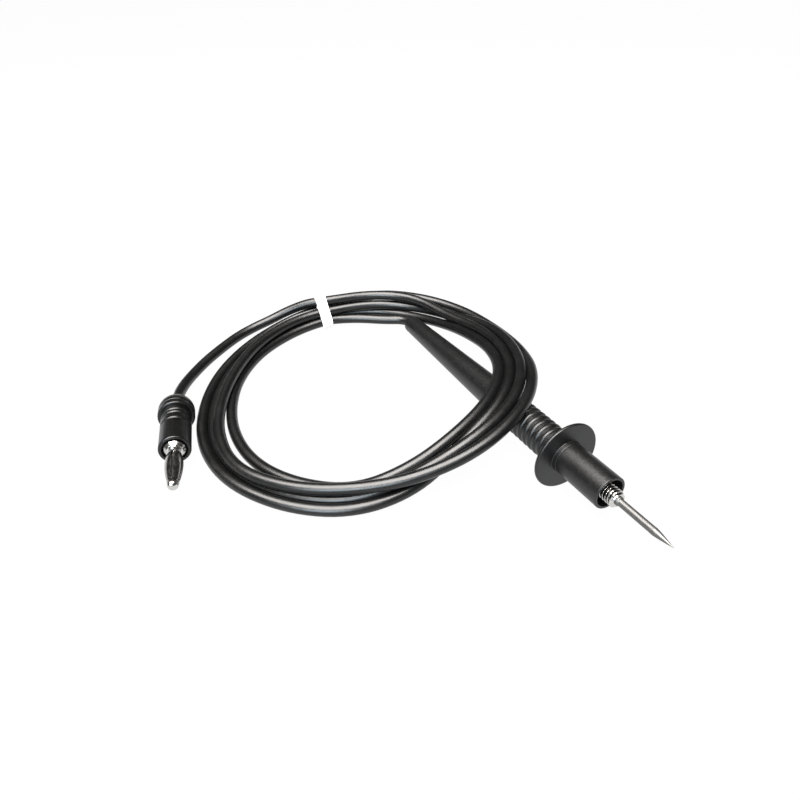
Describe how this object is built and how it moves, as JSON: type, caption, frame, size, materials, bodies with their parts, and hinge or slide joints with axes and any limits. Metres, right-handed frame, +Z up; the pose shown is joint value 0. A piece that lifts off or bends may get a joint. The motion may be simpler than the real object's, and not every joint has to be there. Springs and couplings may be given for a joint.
{
  "type": "needle test probe with plug lead",
  "caption": "Insulated hand probe with a finger guard, screw-on needle tip, coiled flexible test lead in a cable tie, and a sprung 4 mm plug with a screw cap.",
  "frame": {"origin": "on the surface that the set lies on, under the middle of the probe's length; the probe's axis is over the X axis", "axes": "+X from the probe's tail to its needle tip, +Z up, +Y away from the side where the coil and the plug lie"},
  "size_m": [0.1601, 0.1227, 0.0206],
  "materials": {
    "handle_plastic": "moulded black plastic with a fine satin skin",
    "plug_plastic": "turned black plastic, satin, worn a little grey at its rims",
    "bush_plastic": "moulded dark grey plastic",
    "cord_jacket": "smooth flexible black jacket, soft gloss",
    "nickel_plate": "bright nickel plate over brass",
    "spring_nickel": "nickel plated spring leaves, slightly brushed",
    "needle_steel": "ground steel, fine lines around the shaft",
    "screw_steel": "plain steel",
    "solder": "bright solder fillet",
    "shrink_sleeve": "shrunk black sleeving",
    "copper_strand": "bare twisted copper strands",
    "tie_nylon": "natural white nylon, slightly waxy"
  },
  "bodies": {
    "probe_and_lead": {"probe_handle": "handle_plastic", "nose_sleeve": "handle_plastic", "tip_stud": "nickel_plate", "needle": "needle_steel", "solder_joint": "solder", "insulating_sleeve": "shrink_sleeve", "crimp_ferrule": "nickel_plate", "core_probe_end": "copper_strand", "cord_in_handle": "cord_jacket", "plug_sleeve": "plug_plastic", "plug_core": "nickel_plate", "clamp_screw": "screw_steel", "core_plug_end": "copper_strand", "cord_in_plug": "cord_jacket", "cord_exit": "cord_jacket", "cord_coil": "cord_jacket", "cord_lead": "cord_jacket", "cable_tie": "tie_nylon"},
    "bush": {"cord_bush": "bush_plastic"},
    "cap": {"plug_cap": "plug_plastic"},
    "spring": {"contact_spring": "spring_nickel"}
  },
  "joints": [
    {"name": "spring_spin", "type": "hinge", "parent": "probe_and_lead", "child": "spring", "pos_m": [-0.02263, -0.09659, 0.00894], "axis": [0.9784, -0.1655, 0.1236], "continuous": true},
    {"name": "cap_travel", "type": "slide", "parent": "probe_and_lead", "child": "bush", "axis": [-0.9784, 0.1655, -0.1236], "range_m": [0, 0.003]},
    {"name": "cap_turn", "type": "hinge", "parent": "bush", "child": "cap", "pos_m": [-0.04905, -0.09212, 0.00561], "axis": [-0.9784, 0.1655, -0.1236], "range_deg": [0, 1440]}
  ],
  "couplings": [
    {"joint": "cap_turn", "follows": "cap_travel", "rad_per_m": 8377.6}
  ]
}
